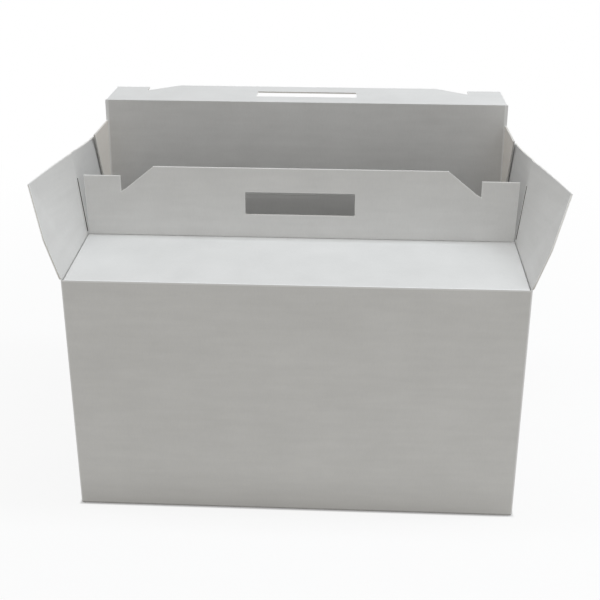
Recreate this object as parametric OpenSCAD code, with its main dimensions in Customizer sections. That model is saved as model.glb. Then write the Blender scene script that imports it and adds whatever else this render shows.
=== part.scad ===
// Carry carton folded from one die-cut sheet of micro-flute board, standing half open.
// The front half of the top is shut with its handle upright. The back half is raised.
// Origin: middle of the underside. +X runs along the width, +Y to the back, +Z up.

/* [Board] */
// Thickness of the board
board = 1.6; // [1:0.1:2.4]
// Outside radius of the upright corner folds
corner_r = 2.4; // [1.8:0.1:4]

/* [Carton] */
// Outside width
width = 422; // [340:1:560]
// Outside depth
depth = 208; // [170:1:300]
// Height to the top folds
height = 245; // [150:1:400]
// Width of the glued inner lap
glue_lap = 32; // [20:1:45]
// Slant at the two ends of the glued lap
glue_slant = 9; // [4:1:16]

/* [Snap-lock bottom] */
// Depth of the outer lock flap, from the front wall to its straight edge
lock_reach = 114; // [100:1:125]
// Slanted corner of the outer lock flap, along the width
lock_slant = 46; // [20:1:70]
// Width of the tongue on the outer lock flap
tongue_w = 190; // [120:1:200]
// Rise of the tongue through the lock, along the depth
tongue_ramp = 14; // [10:1:20]
// Length of the tongue that lies on the inner lock flap
tongue_lap = 34; // [20:1:45]
// Gap between the end of a dust flap and the tongue
dust_gap = 8; // [4:1:30]
// Straight end of a dust flap, along the depth
dust_end = 70; // [40:1:100]
// Distance that the ears of the inner lock flap reach past the outer flap's edge
lock_ear = 36; // [20:1:60]
// Slant of the notch between those ears, along the width
lock_notch_slant = 12; // [4:1:20]
// Play between the tongue and the notch, each side
tongue_play = 3; // [1:0.5:5]

/* [Top panels] */
// Start of a wing's fold, from the panel's hinge
wing_hinge_margin = 4; // [3:0.5:10]
// End of a wing's fold, from the handle's fold
wing_free_margin = 22; // [16:1:40]
// Reach of a wing from its panel, at the end by the hinge
wing_root = 20; // [8:1:30]
// Gap left between a swinging wing's tip and the other handle
wing_swing_gap = 1.5; // [1:0.5:8]

/* [Handles] */
// Height of a handle panel above its fold
handle_h = 72; // [64:1:90]
// Distance that the foot of the handle stands in from the panel's end
handle_inset = 1; // [0.5:0.1:4]
// Length of the hand slot
slot_len = 106; // [80:1:130]
// Height of the hand slot
slot_h = 23.5; // [18:0.5:30]
// Height of the hand slot above the fold
slot_rise = 24; // [15:1:28]
// Corner radius of the hand slot
slot_r = 1; // [0.5:0.5:9]
// Width of a locking ear
ear_w = 35.5; // [28:0.5:46]
// Distance of the ear's top below the handle's top
ear_drop = 10; // [5:0.5:14]
// Distance of the lock notch below the handle's top
notch_drop = 26; // [20:1:32]
// Width of the notch's foot
notch_foot = 4.5; // [3:0.5:8]
// Rise of the notch's foot
notch_lift = 2.5; // [1:0.5:5]
// Length of the ramp from the notch to the handle's top, along the width
notch_ramp = 28; // [20:1:40]

/* [Side flaps] */
// Board left beyond the end of the lock slit
flap_band = 23; // [12:1:32]
// Crown of the flap's free edge at the middle
flap_crown = 3.8; // [0:0.1:8]
// Height of the flap's edge where it starts at the corner
flap_foot = 3; // [2:0.5:6]
// Inward run of the steep part of the flap's end
flap_taper = 13.5; // [6:0.5:20]
// Height of the steep part of the flap's end
flap_taper_h = 37; // [25:1:50]
// Inward run of the whole slanted end
flap_corner = 48; // [36:1:64]
// Play between the two ears and the sides of the slit
slit_play = 0.3; // [0.2:0.1:2]
// Outward lean at the front end, in degrees
lean_front = 26.5; // [5:0.5:40]
// Outward lean at the slit, in degrees
lean_middle = 6; // [4:0.5:25]
// Outward lean at the back end, in degrees
lean_back = 0.5; // [0.2:0.1:25]

/* [Opening] */
// Angle of the raised back panel from shut
back_open = 94; // [0:1:180]

/* [Clearances] */
// Gap along the bevels of a fold
fold_gap = 0.45; // [0.3:0.05:0.8]
// Gap between each handle and the middle of the carton
handle_gap = 0.3; // [0.2:0.05:0.8]
// Gap between a panel's end and the side wall
end_gap = 0.6; // [0.4:0.1:2]
// Extra length of the slit over the reach of the lock notch
slit_extra = 0.2; // [0.1:0.1:1]

/* [Hidden] */
$fn = 48;
white = [0.87, 0.87, 0.86];
inner_r = corner_r - board;
inside_w = width - 2 * board;
inside_d = depth - 2 * board;
panel_len = width - 2 * (board + end_gap);
panel_d = depth / 2 - handle_gap;
handle_len = panel_len - 2 * handle_inset;
wing_end = panel_d - wing_free_margin;
wing_reach = sqrt(pow(panel_d - wing_swing_gap, 2) - pow(wing_end, 2));
ear_h = handle_h - ear_drop;
notch_h = handle_h - notch_drop;
slit_len = norm([ear_w, notch_h]) + slit_extra;
slit_w = 2 * (board + handle_gap) + slit_play;
flap_len = slit_len + flap_band;
lock_y = -inside_d / 2 + lock_reach;
lap_y = lock_y + tongue_ramp;
dust_x = tongue_w / 2 + dust_gap;
lock_notch = tongue_w / 2 + tongue_play;
ear_foot = lock_notch + lock_notch_slant;
cut = 1;

function mix(a, b, t) = a + (b - a) * t;

// Points of a half outline, mirrored to the other end of the width and taken backwards
function mirrored(half) = [for (i = [len(half) - 1:-1:0]) [-half[i].x, half[i].y]];

// Rectangle with four round corners, centred
module round_plan(w, d, r) {
    square([w - 2 * r, d], center = true);
    square([w, d - 2 * r], center = true);
    for (x = [-1, 1], y = [-1, 1])
        translate([x * (w / 2 - r), y * (d / 2 - r)]) circle(r);
}

// Flat flap of the bottom, lying a number of board thicknesses up
module bottom_layer(level) {
    translate([0, 0, level * board]) linear_extrude(board) children();
}

// The same shape on both halves of the width
module both_ends() {
    children();
    mirror([1, 0, 0]) children();
}

// Upright walls, bevelled on the inside of the front and back top folds
module walls() {
    difference() {
        linear_extrude(height) difference() {
            round_plan(width, depth, corner_r);
            round_plan(inside_w, inside_d, inner_r);
        }
        for (side = [0, 1]) mirror([0, side, 0])
            translate([0, -depth / 2, height]) rotate([90, 0, 90])
                linear_extrude(inside_w, center = true)
                    polygon([[0, 0], [board, -board], [board + cut, -board], [board + cut, cut], [0, cut]]);
    }
}

// Lap of the left wall, glued flat inside the back wall
module glued_lap() {
    low = 4 * board;
    high = height - 4 * board;
    translate([-inside_w / 2, inside_d / 2, 0]) rotate([90, 0, 0])
        linear_extrude(board)
            polygon([
                [0, low], [glue_lap, low + glue_slant],
                [glue_lap, high - glue_slant], [0, high]
            ]);
}

// Outer lock flap from the front wall, with the tongue that rises through the lock
module outer_lock_flap() {
    bottom_layer(0) polygon([
        [-inside_w / 2, -inside_d / 2 - board / 2], [inside_w / 2, -inside_d / 2 - board / 2],
        [inside_w / 2 - lock_slant, lock_y], [-inside_w / 2 + lock_slant, lock_y]
    ]);
    rotate([90, 0, 90]) linear_extrude(tongue_w, center = true) polygon([
        [lock_y - board, 0], [lock_y, 0], [lap_y, 3 * board], [lap_y + tongue_lap, 3 * board],
        [lap_y + tongue_lap, 4 * board], [lap_y - board / 2, 4 * board], [lock_y - board, board]
    ]);
}

// Dust flap from a side wall
module dust_flap() {
    bottom_layer(1) polygon([
        [-inside_w / 2 - board / 2, -inside_d / 2], [-inside_w / 2 - board / 2, inside_d / 2],
        [-dust_x, dust_end / 2], [-dust_x, -dust_end / 2]
    ]);
}

// Inner lock flap from the back wall, notched for the tongue
module inner_lock_flap() {
    half = [
        [lock_notch, lap_y], [ear_foot, lock_y - lock_ear], [inside_w / 2 - lock_slant, lock_y - lock_ear],
        [inside_w / 2, lock_y], [inside_w / 2, inside_d / 2 + board / 2]
    ];
    bottom_layer(2) polygon(concat(half, mirrored(half)));
}

// Four walls, the glued lap and the locked bottom, all of one sheet
module carton() {
    color(white) {
        walls();
        glued_lap();
        outer_lock_flap();
        both_ends() dust_flap();
        inner_lock_flap();
    }
}

// Wing folded down at the end of a top panel, drawn from the panel's hinge
module wing() {
    translate([-panel_len / 2, -depth / 2, height]) rotate([90, 0, 90])
        linear_extrude(board) polygon([
            [wing_hinge_margin, 0], [wing_end, 0],
            [wing_end, -wing_reach], [wing_hinge_margin, -wing_root]
        ]);
}

// Front half of the top with its two wings, bevelled at both long folds
module shut_panel() {
    translate([0, -depth / 2, height]) rotate([90, 0, 90])
        linear_extrude(panel_len, center = true) polygon([
            [fold_gap, 0], [board + fold_gap, -board],
            [panel_d, -board], [panel_d - board, 0]
        ]);
    both_ends() wing();
}

// Outline of a handle: ears at both ends, each cut with a lock notch, and the hand slot
module handle_outline() {
    end = panel_len / 2;
    notch = end - ear_w;
    half = [
        [handle_len / 2, fold_gap - board], [handle_len / 2, fold_gap],
        [end, ear_h], [notch, ear_h],
        [notch, notch_h], [notch - notch_foot, notch_h + notch_lift],
        [notch - notch_foot - notch_ramp, handle_h]
    ];
    difference() {
        polygon(concat(half, mirrored(half)));
        translate([0, slot_rise + slot_h / 2]) round_plan(slot_len, slot_h, slot_r);
    }
}

// Handle of the front panel, standing upright and bevelled at its fold
module upright_handle() {
    difference() {
        translate([0, -handle_gap, height]) rotate([90, 0, 0]) linear_extrude(board) handle_outline();
        translate([0, -handle_gap, height - board + fold_gap]) rotate([90, 0, 90])
            linear_extrude(width, center = true)
                polygon([[0, 0], [-board - cut, board + cut], [-board - cut, -cut], [0, -cut]]);
    }
}

// Turns a front piece into its twin on the raised back half
module on_raised_back() {
    translate([0, depth / 2, height]) rotate([-back_open, 0, 0])
        translate([0, -depth / 2, -height]) mirror([0, 1, 0]) children();
}

module front_top_panel() { color(white) shut_panel(); }

module front_handle() { color(white) upright_handle(); }

module back_top_panel() { color(white) on_raised_back() shut_panel(); }

module back_handle() { color(white) on_raised_back() upright_handle(); }

// Length of the flap at a distance from its nearer end
function flap_reach(e) =
    e <= flap_taper ? mix(flap_foot, flap_taper_h, e / flap_taper) :
    e <= flap_corner ? mix(flap_taper_h, flap_len, (e - flap_taper) / (flap_corner - flap_taper)) :
    flap_len + flap_crown * pow((e - flap_corner) / (depth / 2 - flap_corner), 2);

// Outward lean at a distance from the front end: the flap is bent along its slit
function flap_lean(s) =
    let (half = depth / 2, share = min(1, abs(s - half) / (half - flap_corner)))
    mix(lean_middle, s < half ? lean_front : lean_back, share);

// Section of the flap at one distance: outer foot, outer top, inner top, inner foot
function flap_section(s, start) =
    let (
        a = flap_lean(s),
        up = [-sin(a), 0, cos(a)],
        in = [cos(a), 0, sin(a)] * board,
        base = [-width / 2, s - depth / 2, height],
        top = base + up * flap_reach(min(s, depth - s)),
        foot = base + up * start
    )
    [foot, top, top + in, foot + in];

// Stretch of the flap through the given distances, from a height above the fold to the flap's edge
module flap_stretch(places, start) {
    count = len(places);
    sides = [
        for (k = [0:count - 2], j = [0:3])
            let (a = 4 * k + j, b = 4 * k + (j + 1) % 4)
            each [[a, b, b + 4], [a, b + 4, a + 4]]
    ];
    end = 4 * count - 4;
    caps = [[3, 2, 1], [3, 1, 0], [end, end + 1, end + 2], [end, end + 2, end + 3]];
    polyhedron([for (s = places) each flap_section(s, start)], concat(sides, caps));
}

// Side flap bent outward from the top of the left wall, slit for the ears of the handles
module bent_flap() {
    slit_s = (depth - slit_w) / 2;
    steep = [for (i = [0:2]) mix(0, flap_taper, i / 3)];
    slant = [for (i = [0:5]) mix(flap_taper, flap_corner, i / 6)];
    level = [for (i = [0:9]) mix(flap_corner, slit_s, i / 9)];
    front = concat(steep, slant, level);
    flap_stretch(front, fold_gap);
    flap_stretch([slit_s, depth / 2, depth - slit_s], slit_len);
    flap_stretch([for (i = [len(front) - 1:-1:0]) depth - front[i]], fold_gap);
}

module left_side_flap() { color(white) bent_flap(); }

module right_side_flap() { color(white) mirror([1, 0, 0]) bent_flap(); }

carton();
front_top_panel();
front_handle();
back_top_panel();
back_handle();
left_side_flap();
right_side_flap();
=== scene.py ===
import math

import bmesh
import bpy
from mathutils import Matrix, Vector


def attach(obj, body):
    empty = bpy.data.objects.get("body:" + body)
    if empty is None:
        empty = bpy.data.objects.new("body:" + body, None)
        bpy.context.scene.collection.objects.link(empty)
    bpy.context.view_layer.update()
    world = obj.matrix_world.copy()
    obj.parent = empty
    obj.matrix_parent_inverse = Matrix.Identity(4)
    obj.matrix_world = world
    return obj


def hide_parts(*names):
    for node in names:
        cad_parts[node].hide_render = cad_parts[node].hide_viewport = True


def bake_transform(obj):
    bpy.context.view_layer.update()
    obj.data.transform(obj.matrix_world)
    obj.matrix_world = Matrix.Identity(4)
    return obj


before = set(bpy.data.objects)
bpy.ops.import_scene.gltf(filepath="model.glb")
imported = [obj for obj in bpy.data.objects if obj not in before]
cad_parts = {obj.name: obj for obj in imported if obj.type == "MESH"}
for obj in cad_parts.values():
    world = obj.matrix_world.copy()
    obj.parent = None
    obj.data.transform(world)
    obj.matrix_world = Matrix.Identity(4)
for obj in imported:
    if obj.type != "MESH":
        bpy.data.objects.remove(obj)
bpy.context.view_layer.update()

# Carton: four walls, a glued lap and a snap-lock bottom, folded from one die-cut sheet of
# micro-flute board. Coated white paper covers both faces, and the cut edges show the flutes
# between them. The lap is glued inside the back wall; the bottom holds by its tongue.
mm = 0.001
board = 1.6 * mm
half_width = 211 * mm
half_depth = 104 * mm
fold_height = 245 * mm
along_x, along_y, along_z = (1, 0, 0), (0, 1, 0), (0, 0, 1)
front_fold = ((0, -half_depth, fold_height), along_x)
back_fold = ((0, half_depth, fold_height), along_x)
left_fold = ((-half_width, 0, fold_height), along_y)
right_fold = ((half_width, 0, fold_height), along_y)
top_folds = [front_fold, back_fold, left_fold, right_fold]
upright_folds = [
    ((x, y, 0), along_z) for x in (-half_width, half_width) for y in (-half_depth, half_depth)]


class Value:
    """A socket of a material: expressions add Math nodes, and node() adds any other kind."""

    def __init__(self, tree, socket=None):
        self.tree = tree
        self.socket = socket

    def node(self, kind, settings=None, inputs=None, out=0):
        made = self.tree.nodes.new("ShaderNode" + kind)
        for name, setting in (settings or {}).items():
            setattr(made, name, setting)
        for name, value in (inputs or {}).items():
            if isinstance(value, Value):
                self.tree.links.new(value.socket, made.inputs[name])
            else:
                made.inputs[name].default_value = value
        return Value(self.tree, made.outputs[out])

    def math(self, operation, a, b=0.0):
        return self.node("Math", {"operation": operation}, {0: a, 1: b})

    def __add__(self, other):
        return self.math("ADD", self, other)

    def __radd__(self, other):
        return self.math("ADD", other, self)

    def __sub__(self, other):
        return self.math("SUBTRACT", self, other)

    def __rsub__(self, other):
        return self.math("SUBTRACT", other, self)

    def __mul__(self, other):
        return self.math("MULTIPLY", self, other)

    def __rmul__(self, other):
        return self.math("MULTIPLY", other, self)

    def __gt__(self, other):
        return self.math("GREATER_THAN", self, other)

    def __abs__(self):
        return self.math("ABSOLUTE", self)

    def fade(self, full, gone):
        """1 up to full, falling smoothly to 0 at gone."""
        limits = {"Value": self, "From Min": full, "From Max": gone, "To Min": 1.0, "To Max": 0.0}
        return self.node("MapRange", {"interpolation_type": "SMOOTHSTEP"}, limits)

    def blend(self, first, second):
        """Colour between the two, by this value."""
        return self.node("Mix", {"data_type": "RGBA"}, {0: self, 6: first, 7: second}, out=2)


def new_material(name):
    material = bpy.data.materials.new(name)
    material.use_nodes = True
    tree = material.node_tree
    return material, tree, tree.nodes["Principled BSDF"]


white = (0.862, 0.859, 0.848, 1)
greyer_white = (0.752, 0.749, 0.737, 1)
inner_white = (0.818, 0.814, 0.803, 1)
inner_grey = (0.702, 0.697, 0.685, 1)
# pale lines at folds and cut edges: partly the crushed coating, partly painted highlight where the
# rounded edge catches the light
crushed_highlight_white = (0.95, 0.95, 0.945, 1)
# darker tone towards the foot of the walls, in patches
lower_tone = (0.55, 0.54, 0.52, 1)
# painted shadow: a thin dark line along the foot of the walls, for the shade where the box meets the
# floor
foot_shadow_colour = (0.22, 0.21, 0.20, 1)
outer_sheen = 0.36
inner_sheen = 0.2
matt = 0.80
mottles_per_metre = 24.0
fibres_per_metre = (700, 700, 190)
streaks_per_metre = (18, 18, 130)
flute_pitch = 3.2 * mm
side_facing = 0.6
crush_highlight_full, crush_highlight_gone = 0.8 * mm, 2.2 * mm
darkening_full, darkening_gone = 6 * mm, 48 * mm
foot_shadow_full, foot_shadow_gone = 0.5 * mm, 2.4 * mm
foot_shadow_strip = 1.5 * mm
foot_shadow_strength = 0.75
rib_height = 0.002 * mm
fibre_height = 0.012 * mm
crush_depth = 0.05 * mm


def white_paper(name, folds, light, dark, sheen):
    """White paper of the board: faint mottle, streaks and fibres, ribs of the flutes, pale lines at
    folds and cuts that are partly the crush of the board and partly painted highlight, a patchy
    darkening towards the foot, and a thin painted shadow line along the foot of the box."""
    material, tree, shader = new_material(name)
    start = Value(tree)
    here = start.node("TexCoord", out="Object")
    facing = start.node("TexCoord", out="Normal")
    x, y, z = (start.node("SeparateXYZ", inputs={0: here}, out=i) for i in range(3))
    facing_x = start.node("SeparateXYZ", inputs={0: facing}, out=0)
    soft_spots = {"Vector": here, "Scale": mottles_per_metre, "Detail": 5.0, "Roughness": 0.62}
    mottle = start.node("TexNoise", inputs=soft_spots)
    drawn = []
    for per_metre in (fibres_per_metre, streaks_per_metre):
        scaled = start.node("VectorMath", {"operation": "MULTIPLY"}, {0: here, 1: per_metre})
        drawn.append(start.node("TexNoise", inputs={"Vector": scaled, "Scale": 1.0, "Detail": 3.0}))
    fibres, streaks = drawn
    across = x + (y - x) * (abs(facing_x) > side_facing)
    ribs = start.math("SINE", across * (2 * math.pi / flute_pitch))
    # pale lines at cut lips and folds, partly painted highlight
    crushed_and_highlit = start.node("Attribute", {"attribute_name": "lip"}, out="Fac")
    for point, run in folds:
        offset = start.node("VectorMath", {"operation": "SUBTRACT"}, {0: here, 1: point})
        turned = start.node("VectorMath", {"operation": "CROSS_PRODUCT"}, {0: offset, 1: run})
        away = start.node("VectorMath", {"operation": "LENGTH"}, {0: turned}, out="Value")
        crushed_and_highlit = start.math("MAXIMUM", crushed_and_highlit, away.fade(crush_highlight_full, crush_highlight_gone))
    tone = (0.9 * mottle + 0.7 * streaks + 0.4 * fibres - 0.5).blend(dark, light)
    # darker towards the foot, in patches
    darker_lower = z.fade(darkening_full, darkening_gone) * (0.16 + 0.12 * mottle)
    past_edge = start.math("MAXIMUM", abs(x) - half_width, abs(y) - half_depth)
    # painted shadow: a thin dark line along the outer foot of the walls
    foot_shadowed = z.fade(foot_shadow_full, foot_shadow_gone) * (past_edge > -foot_shadow_strip) * foot_shadow_strength
    colour_with_highlight = crushed_and_highlit.blend(darker_lower.blend(tone, lower_tone), crushed_highlight_white)
    tree.links.new(foot_shadowed.blend(colour_with_highlight, foot_shadow_colour).socket, shader.inputs["Base Color"])
    roughness = matt - sheen + 0.14 * mottle - 0.06 * crushed_and_highlit
    tree.links.new(roughness.socket, shader.inputs["Roughness"])
    height = ribs * rib_height + fibres * fibre_height - crushed_and_highlit * crush_depth
    bump = start.node("Bump", inputs={"Height": height, "Distance": 1.0})
    tree.links.new(bump.socket, shader.inputs["Normal"])
    shader.inputs["Specular IOR Level"].default_value = sheen
    return material


# the hollows of a cut edge are painted darker than its paper: painted shade in the hollows
flute_paper = (0.93, 0.91, 0.87, 1)
shaded_flute_hollow = (0.78, 0.745, 0.68, 1)
# painted shade: where a cut runs along a flute, the open channel is painted nearly black for the shade
# inside it
shaded_open_flute_paper = (0.20, 0.18, 0.16, 1)
shaded_open_flute_hollow = (0.05, 0.045, 0.04, 1)
wave_height = 0.62
wave_full, wave_gone = 0.26, 0.52
raggedness = 0.3
ridge_height = 0.05 * mm


def fluted_core(name, middle_paper, hollow):
    """Cut edge between the two papers: the wavy middle paper, with hollows beside it painted darker, as
    painted shade in them.
    """
    material, tree, shader = new_material(name)
    start = Value(tree)
    edge = start.node("UVMap", {"uv_map": "flutes"})
    along = start.node("SeparateXYZ", inputs={0: edge}, out=0)
    through = start.node("SeparateXYZ", inputs={0: edge}, out=1)
    rough_cut = start.node("TexNoise", inputs={"Vector": edge, "Scale": 3.0, "Detail": 2.0})
    wave = start.math("SINE", along * (2 * math.pi)) * wave_height
    paper = abs(through - wave + raggedness * (rough_cut - 0.5)).fade(wave_full, wave_gone)
    tree.links.new(paper.blend(hollow, middle_paper).socket, shader.inputs["Base Color"])
    bump = start.node("Bump", inputs={"Height": paper * ridge_height, "Distance": 1.0})
    tree.links.new(bump.socket, shader.inputs["Normal"])
    shader.inputs["Roughness"].default_value = 0.88
    shader.inputs["Specular IOR Level"].default_value = 0.25
    return material


cut_edge = fluted_core("cut_edge", flute_paper, shaded_flute_hollow)
# painted shade in the open flutes
shaded_open_flutes = fluted_core("shaded_open_flutes", shaded_open_flute_paper, shaded_open_flute_hollow)
weld = 0.004 * mm
flat = math.radians(0.05)
cut_bend = math.radians(30)
fold_reach = 3.4 * mm
widest_cut = 1.2 * board
liner = 0.3 * mm
core_step = 0.02 * mm
core_sink = 0.2 * mm
open_sink = 0.9 * mm
panel_area = 0.004
outside_slot, cut_slot, inside_slot, open_slot = range(4)


def node_solid(node):
    """The node's own solid, with its flat sides each in one face."""
    bm = bmesh.new()
    bm.from_mesh(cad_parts[node].data)
    bmesh.ops.remove_doubles(bm, verts=bm.verts, dist=weld)
    bmesh.ops.dissolve_limit(bm, angle_limit=flat, verts=bm.verts, edges=bm.edges)
    return bm


def flat_runs(bm):
    """Groups of faces that join at a slight bend, so that each group is one side of the sheet."""
    left = dict.fromkeys(bm.faces)
    runs = []
    while left:
        run = [left.popitem()[0]]
        for face in run:
            for edge in face.edges:
                if len(edge.link_faces) == 2 and edge.calc_face_angle(0) < cut_bend:
                    for other in edge.link_faces:
                        if other in left:
                            del left[other]
                            run.append(other)
        runs.append(run)
    return runs


def at_fold(verts, folds):
    """Whether the points all lie beside one of the folds."""
    for on_fold, along in folds:
        if all((v.co - Vector(on_fold)).cross(Vector(along)).length < fold_reach for v in verts):
            return True
    return False


def mark_lip_highlight(bm, run, folds, lip, width):
    """Marks the pale strip along the cut edges of one side of the sheet, a painted highlight where the
    edge would catch the light.
    """
    ring = bmesh.ops.inset_region(bm, faces=run, thickness=width, use_even_offset=True)["faces"]
    inner = {v for f in run for v in f.verts}
    for vert in {v for f in ring for v in f.verts} | inner:
        vert[lip] = 0.0 if vert in inner or at_fold([vert], folds) else 1.0


def sink_core(bm, run, rim, flutes, across):
    """Sinks the core of a cut edge between its two papers, deeper where a flute lies open along it,
    and lays the flutes out on it."""
    members = set(run)
    beside = [f for e in rim for f in e.link_faces if f not in members]
    through = max(beside, key=lambda f: f.calc_area()).normal.copy()
    bmesh.ops.inset_region(bm, faces=run, thickness=liner, use_even_offset=True)
    steps = [v.co.dot(across) for f in run for v in f.verts]
    along_flutes = max(steps) - min(steps) < flute_pitch
    sink = open_sink if along_flutes else core_sink
    bmesh.ops.inset_region(bm, faces=run, thickness=core_step, depth=-sink, use_even_offset=True)
    for face in run:
        face.material_index = open_slot if along_flutes else cut_slot
        middle = face.calc_center_median()
        for loop in face.loops:
            depth_share = (loop.vert.co - middle).dot(through) / (board / 2 - liner)
            loop[flutes].uv = (loop.vert.co.dot(across) / flute_pitch, depth_share)


def placed(name, data):
    made = bpy.data.objects.new(name, data)
    bpy.context.scene.collection.objects.link(made)
    return made


def board_piece(node, bm, folds, flutes_across, within, inner_folds=(), lip_width=0.8 * mm):
    """A solid as cut board: coated paper outside, plain paper on the faces turned to the point
    within, a pale lip where the paper ends in a cut, partly pressed and partly painted highlight,
    and the core sunk a little there."""
    flutes = bm.loops.layers.uv.new("flutes")
    lip = bm.verts.layers.float.new("lip")
    for run in flat_runs(bm):
        members = set(run)
        rim = [e for f in run for e in f.edges if not members.issuperset(e.link_faces)]
        mean_width = 2 * sum(f.calc_area() for f in run) / sum(e.calc_length() for e in rim)
        if mean_width > widest_cut:
            if lip_width:
                mark_lip_highlight(bm, run, folds, lip, lip_width)
        elif not at_fold([v for f in run for v in f.verts], folds):
            sink_core(bm, run, rim, flutes, Vector(flutes_across))
    for face in bm.faces:
        turned_in = face.normal.dot(Vector(within) - face.calc_center_median()) > 0
        if turned_in and face.material_index == outside_slot:
            face.material_index = inside_slot
    mesh = bpy.data.meshes.new(node + "_board")
    bm.to_mesh(mesh)
    bm.free()
    mesh.set_sharp_from_angle(angle=cut_bend)
    for face in mesh.polygons:
        face.use_smooth = face.area < panel_area
    outside = white_paper(node + "_outside", folds, white, greyer_white, outer_sheen)
    inside = white_paper(node + "_inside", inner_folds, inner_white, inner_grey, inner_sheen)
    for material in (outside, cut_edge, inside, shaded_open_flutes):
        mesh.materials.append(material)
    piece = placed(node + "_board", mesh)
    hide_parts(node)
    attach(piece, node)
    return piece


foot_round = 1.2 * mm
foot_steps = 4
foot_level = 0.01 * mm
square_on = 0.9
upright = 0.1


def round_foot(bm):
    """Rounds the lowest outer edge, where the board bends under the walls."""
    under = [
        f for f in bm.faces
        if f.normal.z < -square_on and max(v.co.z for v in f.verts) < foot_level]
    outward_of = {}
    for edge in dict.fromkeys(e for f in under for e in f.edges):
        walls = [f for f in edge.link_faces if abs(f.normal.z) < upright]
        outermost = all(
            abs(v.co.x) > half_width - mm or abs(v.co.y) > half_depth - mm for v in edge.verts)
        if walls and outermost:
            outward_of[edge] = walls[0].normal.copy()
    beside = {}
    for edge, outward in outward_of.items():
        for vert in edge.verts:
            beside.setdefault(vert, []).append(outward)
    rounds = {}
    for vert, (first, second) in beside.items():
        outward = (first + second) / (1 + first.dot(second))
        rounds[vert] = [vert]
        for step in range(1, foot_steps + 1):
            turn = math.radians(90) * step / foot_steps
            place = vert.co - outward * foot_round * (1 - math.cos(turn))
            place.z = foot_round * (1 - math.sin(turn))
            rounds[vert].append(bm.verts.new(place))
    for edge in outward_of:
        near, far = (rounds[v] for v in edge.verts)
        for k in range(foot_steps):
            bm.faces.new((near[k], near[k + 1], far[k + 1], far[k]))
    for face in under:
        bm.faces.new([rounds[v][-1] if v in rounds else v for v in face.verts])
    bmesh.ops.delete(bm, geom=under, context="FACES")
    for vert in rounds:
        vert.co.z = foot_round
    bmesh.ops.recalc_face_normals(bm, faces=bm.faces)


across_walls = (1, 1, 0)
mid_carton = (0, 0, fold_height / 2)
carton = node_solid("carton")
round_foot(carton)
board_piece("carton", carton, top_folds + upright_folds, across_walls, mid_carton, lip_width=0)

# Front half of the top: a panel of the same sheet, folded shut over the opening, with a short wing
# bent down at each end. It turns on the crease along the front wall.
handle_gap = 0.3 * mm
front_handle_fold = ((0, -handle_gap, fold_height - board), along_x)
panel_inset = 2.2 * mm
panel_end = half_width - panel_inset
end_slack = 0.05 * mm
wing_round = 1.2 * mm
# painted light: the wings' inner paper is painted lighter and warmer than the same paper elsewhere
painted_wing_light = (0.90, 0.857, 0.80, 1)
painted_wing_light_grey = (0.85, 0.806, 0.75, 1)
across_panels = (1, 1, 1)
carton_foot = (0, 0, 0)


def folded_panel(node):
    """A top panel's solid, with the outer side of its wing folds rounded."""
    bm = node_solid(node)
    outer_faces = [f for f in bm.faces if max(f.normal.y, f.normal.z) > square_on]
    panel_face = max(outer_faces, key=lambda f: f.calc_area())
    ends = []
    for edge in panel_face.edges:
        middle = (edge.verts[0].co + edge.verts[1].co) / 2
        if abs(middle.x) > panel_end - end_slack:
            ends.append(edge)
    bmesh.ops.bevel(bm, geom=ends, offset=wing_round, segments=4, profile=0.5, affect="EDGES")
    return bm


def paint_wing_light(panel):
    """Paints the inner paper of a panel's wings lighter and warmer than the rest of the inner paper:
    painted light.
    """
    wing_slot = len(panel.data.materials)
    paper = white_paper(panel.name + "_wings", [front_fold], painted_wing_light, painted_wing_light_grey, inner_sheen)
    panel.data.materials.append(paper)
    for face in panel.data.polygons:
        if face.material_index == inside_slot and abs(face.normal.x) > side_facing:
            face.material_index = wing_slot


front_panel_folds = [front_fold, front_handle_fold]
paint_wing_light(board_piece("front_top_panel", folded_panel("front_top_panel"), front_panel_folds,
                       across_panels, carton_foot))

# Front handle: the free end of that panel, bent upright, with a die-cut hand slot and two notched
# ears that lock into the slits of the side flaps. It turns on a crease along the panel.
behind_handle = (0, 1, fold_height)
board_piece("front_handle", node_solid("front_handle"), [front_handle_fold],
            across_panels, behind_handle)

# Back half of the top: the twin of the front panel and of the same board, raised a little past
# upright on the crease along the back wall. Its wings point forward.
back_open = math.radians(94)
mid_mouth = (0, 0, fold_height)


def on_raised_back(point):
    """Place of a point of the front half's section on the raised back half."""
    y = -point.x - half_depth
    z = point.y - fold_height
    turn = -back_open
    return Vector((
        half_depth + y * math.cos(turn) - z * math.sin(turn),
        fold_height + y * math.sin(turn) + z * math.cos(turn),
    ))


up_the_panel = (0, -math.cos(back_open), math.sin(back_open))
back_handle_fold = ((0, *on_raised_back(Vector((-handle_gap, fold_height - board)))), along_x)
panel_inside = on_raised_back(Vector((-half_depth, fold_height - board)))
wing_folds = [((x, *panel_inside), up_the_panel) for x in (board - panel_end, panel_end - board)]
back_panel_folds = [back_fold, back_handle_fold, *wing_folds]
paint_wing_light(board_piece("back_top_panel", folded_panel("back_top_panel"), back_panel_folds,
                       across_panels, mid_mouth, wing_folds))

# Back handle: the twin of the front one, the free end of the back panel with the same slot, ears
# and notches. It is folded back on its crease, so that it stands out behind the raised panel.
above_handle = (0, half_depth, 1)
board_piece("back_handle", node_solid("back_handle"), [back_handle_fold],
            across_panels, above_handle)

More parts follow.
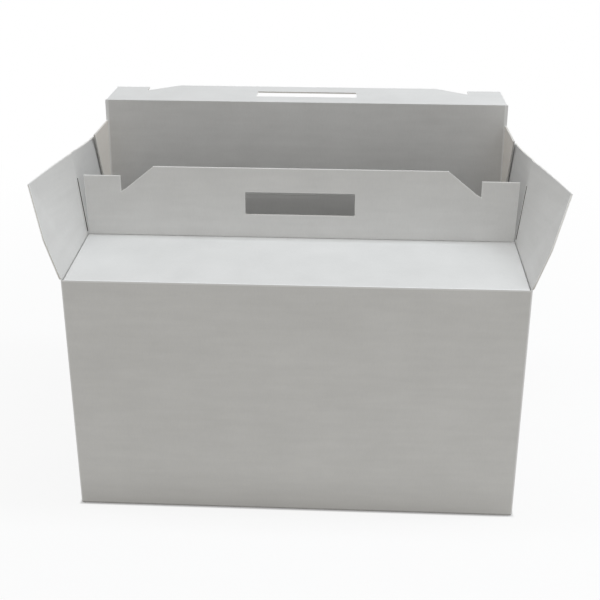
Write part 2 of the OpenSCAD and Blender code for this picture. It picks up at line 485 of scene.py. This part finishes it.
# Side flaps: tongues of board on top of the side walls, each with a slit from its fold up, bent
# outward at the front where the board has taken a set. They turn on the creases of the side walls.
lean_front = math.radians(26.5)
lean_middle = math.radians(6)
lean_back = math.radians(0.5)
flap_corner = 48 * mm
flap_taper = 13.5 * mm
flap_taper_height = 37 * mm
flap_foot = 3 * mm
flap_crown = 3.8 * mm
slit_length = 58.304 * mm
beyond_slit = 23 * mm
flap_length = slit_length + beyond_slit
slit_share = 0.75
half_slit = 2.05 * mm
fold_gap = 0.45 * mm
taper_columns, corner_columns, middle_columns = 5, 10, 18
low_rows, high_rows = 6, 1
cell_corners = ((0, 0), (1, 0), (1, 1), (0, 1))
cell_sides = {
    (-1, 0): ((0, 0), (0, 1)), (1, 0): ((1, 0), (1, 1)),
    (0, -1): ((0, 0), (1, 0)), (0, 1): ((0, 1), (1, 1)),
}


def flap_lean(y):
    """Outward lean of a side flap at a place along the depth."""
    share = min(1.0, max(0.0, abs(y) - half_slit) / (half_depth - flap_corner - half_slit))
    return lean_middle + ((lean_front if y < 0 else lean_back) - lean_middle) * share


def flap_reach(y):
    """Length of a side flap from its fold to its free edge."""
    from_end = half_depth - abs(y)
    if from_end < flap_taper:
        return flap_foot + (flap_taper_height - flap_foot) * from_end / flap_taper
    if from_end < flap_corner:
        share = (from_end - flap_taper) / (flap_corner - flap_taper)
        return flap_taper_height + (flap_length - flap_taper_height) * share
    share = (from_end - flap_corner) / (half_depth - flap_corner)
    return flap_length + flap_crown * share ** 2


def spread(first, last, count):
    """Even places from the first on, short of the last."""
    return [first + (last - first) * i / count for i in range(count)]


def flap_solid(side):
    """Bent flap as a sheet of even rows and columns, with its slit left open."""
    corner = flap_corner - half_depth
    front = spread(-half_depth, flap_taper - half_depth, taper_columns)
    front += spread(flap_taper - half_depth, corner, corner_columns)
    front += spread(corner, -half_slit, middle_columns) + [-half_slit]
    columns = front + [0.0] + [-y for y in reversed(front)]
    top = low_rows + high_rows
    bm = bmesh.new()
    grid = {}
    for i, y in enumerate(columns):
        lean = flap_lean(y)
        reach = flap_reach(y)
        slit_level = min(slit_length, slit_share * reach)
        rows = spread(fold_gap, slit_level, low_rows) + spread(slit_level, reach, high_rows) + [reach]
        for j, rise in enumerate(rows):
            outer = Vector((half_width + rise * math.sin(lean), y, fold_height + rise * math.cos(lean)))
            inner = outer + board * Vector((-math.cos(lean), 0, math.sin(lean)))
            for layer, point in enumerate((outer, inner)):
                grid[i, j, layer] = bm.verts.new((side * point.x, point.y, point.z))
        if i in (0, len(columns) - 1):
            for j in range(1, top):
                for layer in (0, 1):
                    grid[i, j, layer] = grid[i, 0 if 2 * j < top else top, layer]
    slit_columns = (len(front) - 1, len(front))
    cells = {(i, j) for i in range(len(columns) - 1) for j in range(top)}
    cells -= {(i, j) for i in slit_columns for j in range(low_rows)}
    for i, j in sorted(cells):
        for layer in (0, 1):
            around = [grid[i + a, j + b, layer] for a, b in cell_corners]
            bm.faces.new(dict.fromkeys(around))
        for (di, dj), (first, second) in cell_sides.items():
            if (i + di, j + dj) not in cells:
                a = (i + first[0], j + first[1])
                b = (i + second[0], j + second[1])
                if grid[*a, 0] is not grid[*b, 0]:
                    bm.faces.new((grid[*a, 0], grid[*b, 0], grid[*b, 1], grid[*a, 1]))
    bmesh.ops.delete(bm, geom=[v for v in bm.verts if not v.link_faces], context="VERTS")
    bmesh.ops.recalc_face_normals(bm, faces=bm.faces)
    return bm


board_piece("left_side_flap", flap_solid(-1), [left_fold], along_y, mid_mouth)
board_piece("right_side_flap", flap_solid(1), [right_fold], along_y, mid_mouth)

# Creases: the board is crushed along each fold, so the paper runs on round the bend. Each crease
# is a narrow strip of that crushed board.
handle_inset = 1 * mm
handle_end = panel_end - handle_inset
flap_inset = 2.4 * mm
flap_end = half_depth - flap_inset
flap_steps = 24
bend_steps = 6
crease_bend = math.radians(50)
crease_sheen = 0.3
groove_share = 0.4
outer_folds = [front_fold, front_handle_fold, back_handle_fold]
outer_crease = white_paper("outer_crease", outer_folds, white, greyer_white, crease_sheen)
inner_crease = white_paper("inner_crease", [], inner_white, inner_grey, inner_sheen)


def crease(name, places, section, paper):
    """Strip along a fold, through section(place) outlines."""
    mesh = bpy.data.meshes.new(name)
    bm = bmesh.new()
    rings = [[bm.verts.new(point) for point in section(place)] for place in places]
    count = len(rings[0])
    for near, far in zip(rings, rings[1:]):
        for i in range(count):
            j = (i + 1) % count
            bm.faces.new((near[i], near[j], far[j], far[i]))
    bm.faces.new(rings[0])
    bm.faces.new(rings[-1])
    bmesh.ops.recalc_face_normals(bm, faces=bm.faces)
    for face in bm.faces:
        face.smooth = True
    bm.to_mesh(mesh)
    bm.free()
    mesh.set_sharp_from_angle(angle=crease_bend)
    mesh.materials.append(paper)
    piece = placed(name, mesh)
    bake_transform(piece)


def wedge(near_foot, near_tip, far_tip, far_foot):
    """Outline that fills a fold between two bevels, with enough points on its open side to bend."""
    open_side = [near_tip.lerp(far_tip, i / bend_steps) for i in range(bend_steps + 1)]
    return [near_foot, *open_side, far_foot]


def along_width(outline):
    return lambda x: [Vector((x, p.x, p.y)) for p in outline]


panel_ends = (-panel_end, panel_end)
corner = Vector((-half_depth, fold_height))
slant = Vector((board, -board))
gap = Vector((fold_gap, 0))
outline = wedge(corner, corner + slant, corner + gap + slant, corner + gap)
crease("front_panel_crease", panel_ends, along_width(outline),
       outer_crease)

handle_ends = (-handle_end, handle_end)
bend = Vector((-handle_gap, fold_height - board))
slant = Vector((-board, board))
groove = groove_share * slant
gap = Vector((0, fold_gap))
handle_outline = wedge(bend, bend + slant - groove, bend + gap + slant - groove, bend + gap)
crease("front_handle_crease", handle_ends,
       along_width(handle_outline), outer_crease)

corner = Vector((half_depth, fold_height))
near_tip = corner + Vector((-board, -board))
far_tip = on_raised_back(Vector((-half_depth + fold_gap + board, fold_height - board)))
far_foot = on_raised_back(Vector((-half_depth + fold_gap, fold_height)))
outline = wedge(corner, near_tip, far_tip, far_foot)
crease("back_panel_crease", panel_ends, along_width(outline),
       inner_crease)

outline = [on_raised_back(point) for point in handle_outline]
crease("back_handle_crease", handle_ends, along_width(outline),
       outer_crease)


def flap_section(side):
    def section(y):
        lean = flap_lean(y)
        up = Vector((-math.sin(lean), math.cos(lean))) * fold_gap
        inward = Vector((math.cos(lean), math.sin(lean))) * board
        foot = Vector((-half_width, fold_height))
        ring = wedge(foot, foot + Vector((board, 0)), foot + up + inward, foot + up)
        return [Vector((-side * p.x, y, p.y)) for p in ring]
    return section


flap_places = spread(-flap_end, flap_end, flap_steps) + [flap_end]
for side, flap in ((-1, "left"), (1, "right")):
    crease(flap + "_flap_crease", flap_places, flap_section(side),
           inner_crease)

# Studio: a wide pale floor and a soft white room light the box all round, two softboxes hang above
# it, the stronger one to the right, and the far background stays white.
plain_white = (1, 1, 1, 1)
floor_tone = (0.72, 0.70, 0.665, 1)
floor_speck = (0.5, 0.49, 0.47, 1)
floor_half = 12.0
floor_drop = 0.4 * mm
shade_full, shade_gone = 0.3, 1.0
contact_full, contact_gone = 0.3 * mm, 2.2 * mm
shade_strength = 0.14
contact_strength = 0.62


def shown_rays(start):
    """1 for what the camera sees, also by reflection or through things, and 0 for the light on them."""
    rays = ("Is Camera Ray", "Is Glossy Ray", "Is Transmission Ray")
    seen, mirrored, passed = (start.node("LightPath", out=ray) for ray in rays)
    return start.math("MINIMUM", seen + mirrored + passed, 1.0)


floor_mesh = bpy.data.meshes.new("floor")
floor_corners = [(x * floor_half, y * floor_half, 0) for x, y in ((-1, -1), (1, -1), (1, 1), (-1, 1))]
floor_mesh.from_pydata(floor_corners, [], [(0, 1, 2, 3)])
floor = placed("floor", floor_mesh)
floor.location.z = -floor_drop
material, tree, shader = new_material("pale_floor")
start = Value(tree)
ground = start.node("TexCoord", out="Object")
speckle = start.node("TexNoise", inputs={"Vector": ground, "Scale": 60.0, "Detail": 2.0})
shown = shown_rays(start)
tone = (speckle * 0.1).blend(floor_tone, floor_speck)
tree.links.new(shown.blend(tone, plain_white).socket, shader.inputs["Base Color"])
shader.inputs["Roughness"].default_value = 0.9
shader.inputs["Specular IOR Level"].default_value = 0.0
from_middle = start.node("VectorMath", {"operation": "LENGTH"}, {0: ground}, out="Value")
past_ends = abs(start.node("SeparateXYZ", inputs={0: ground}, out=0)) - half_width
past_walls = abs(start.node("SeparateXYZ", inputs={0: ground}, out=1)) - half_depth
beside = from_middle.fade(shade_full, shade_gone)
touching = start.math("MAXIMUM", past_ends, past_walls).fade(contact_full, contact_gone)
shadow = shade_strength * beside + contact_strength * touching
lit = Value(tree, shader.outputs[0])
glow = start.node("Emission", inputs={"Color": plain_white, "Strength": 1.0})
mixed = start.node("MixShader", inputs={0: shown * (1 - shadow), 1: lit, 2: glow})
tree.links.new(mixed.socket, tree.nodes["Material Output"].inputs["Surface"])
floor_mesh.materials.append(material)

room_white = (1.0, 0.992, 0.972, 1)
room_strength = 0.452
world = bpy.data.worlds.new("studio")
bpy.context.scene.world = world
world.use_nodes = True
tree = world.node_tree
start = Value(tree)
room = start.node("Background", inputs={"Color": room_white, "Strength": room_strength})
backdrop = start.node("Background", inputs={"Color": plain_white, "Strength": 1.0})
mixed = start.node("MixShader", inputs={0: shown_rays(start), 1: room, 2: backdrop})
tree.links.new(mixed.socket, tree.nodes["World Output"].inputs["Surface"])

lamp_height = 2.0
lamp_aim = 0.2
lamp_y = 0.05
lamp_depth = 0.3
lamp_tint = (0.90, 0.95, 1.0)


def softbox(name, x, width, power):
    lamp = bpy.data.lights.new(name, "AREA")
    lamp.shape = "RECTANGLE"
    lamp.size = width
    lamp.size_y = lamp_depth
    lamp.energy = power
    lamp.color = lamp_tint
    holder = placed(name, lamp)
    holder.location = (x, lamp_y, lamp_height)
    downward = Vector((x, lamp_y, lamp_aim)) - holder.location
    holder.rotation_euler = downward.to_track_quat("-Z", "Y").to_euler()


softbox("overhead", x=-0.25, width=2.2, power=10.6)
softbox("overhead_right", x=1.4, width=1.1, power=14.8)

# Camera: stands where the photograph was taken from, in front of the box, above it and a little to
# the right. A long lens and a small shift take in the whole box.
camera = bpy.data.cameras.new("camera")
camera.lens = 64.5
camera.sensor_width = 36.0
camera.shift_y = -0.15
eye = placed("camera", camera)
eye.location = (46 * mm, -958 * mm, 680 * mm)
aim = Vector((0, 0, 274 * mm))
eye.rotation_euler = (aim - eye.location).to_track_quat("-Z", "Y").to_euler()
bpy.context.scene.camera = eye
bpy.context.scene.view_settings.view_transform = "Standard"
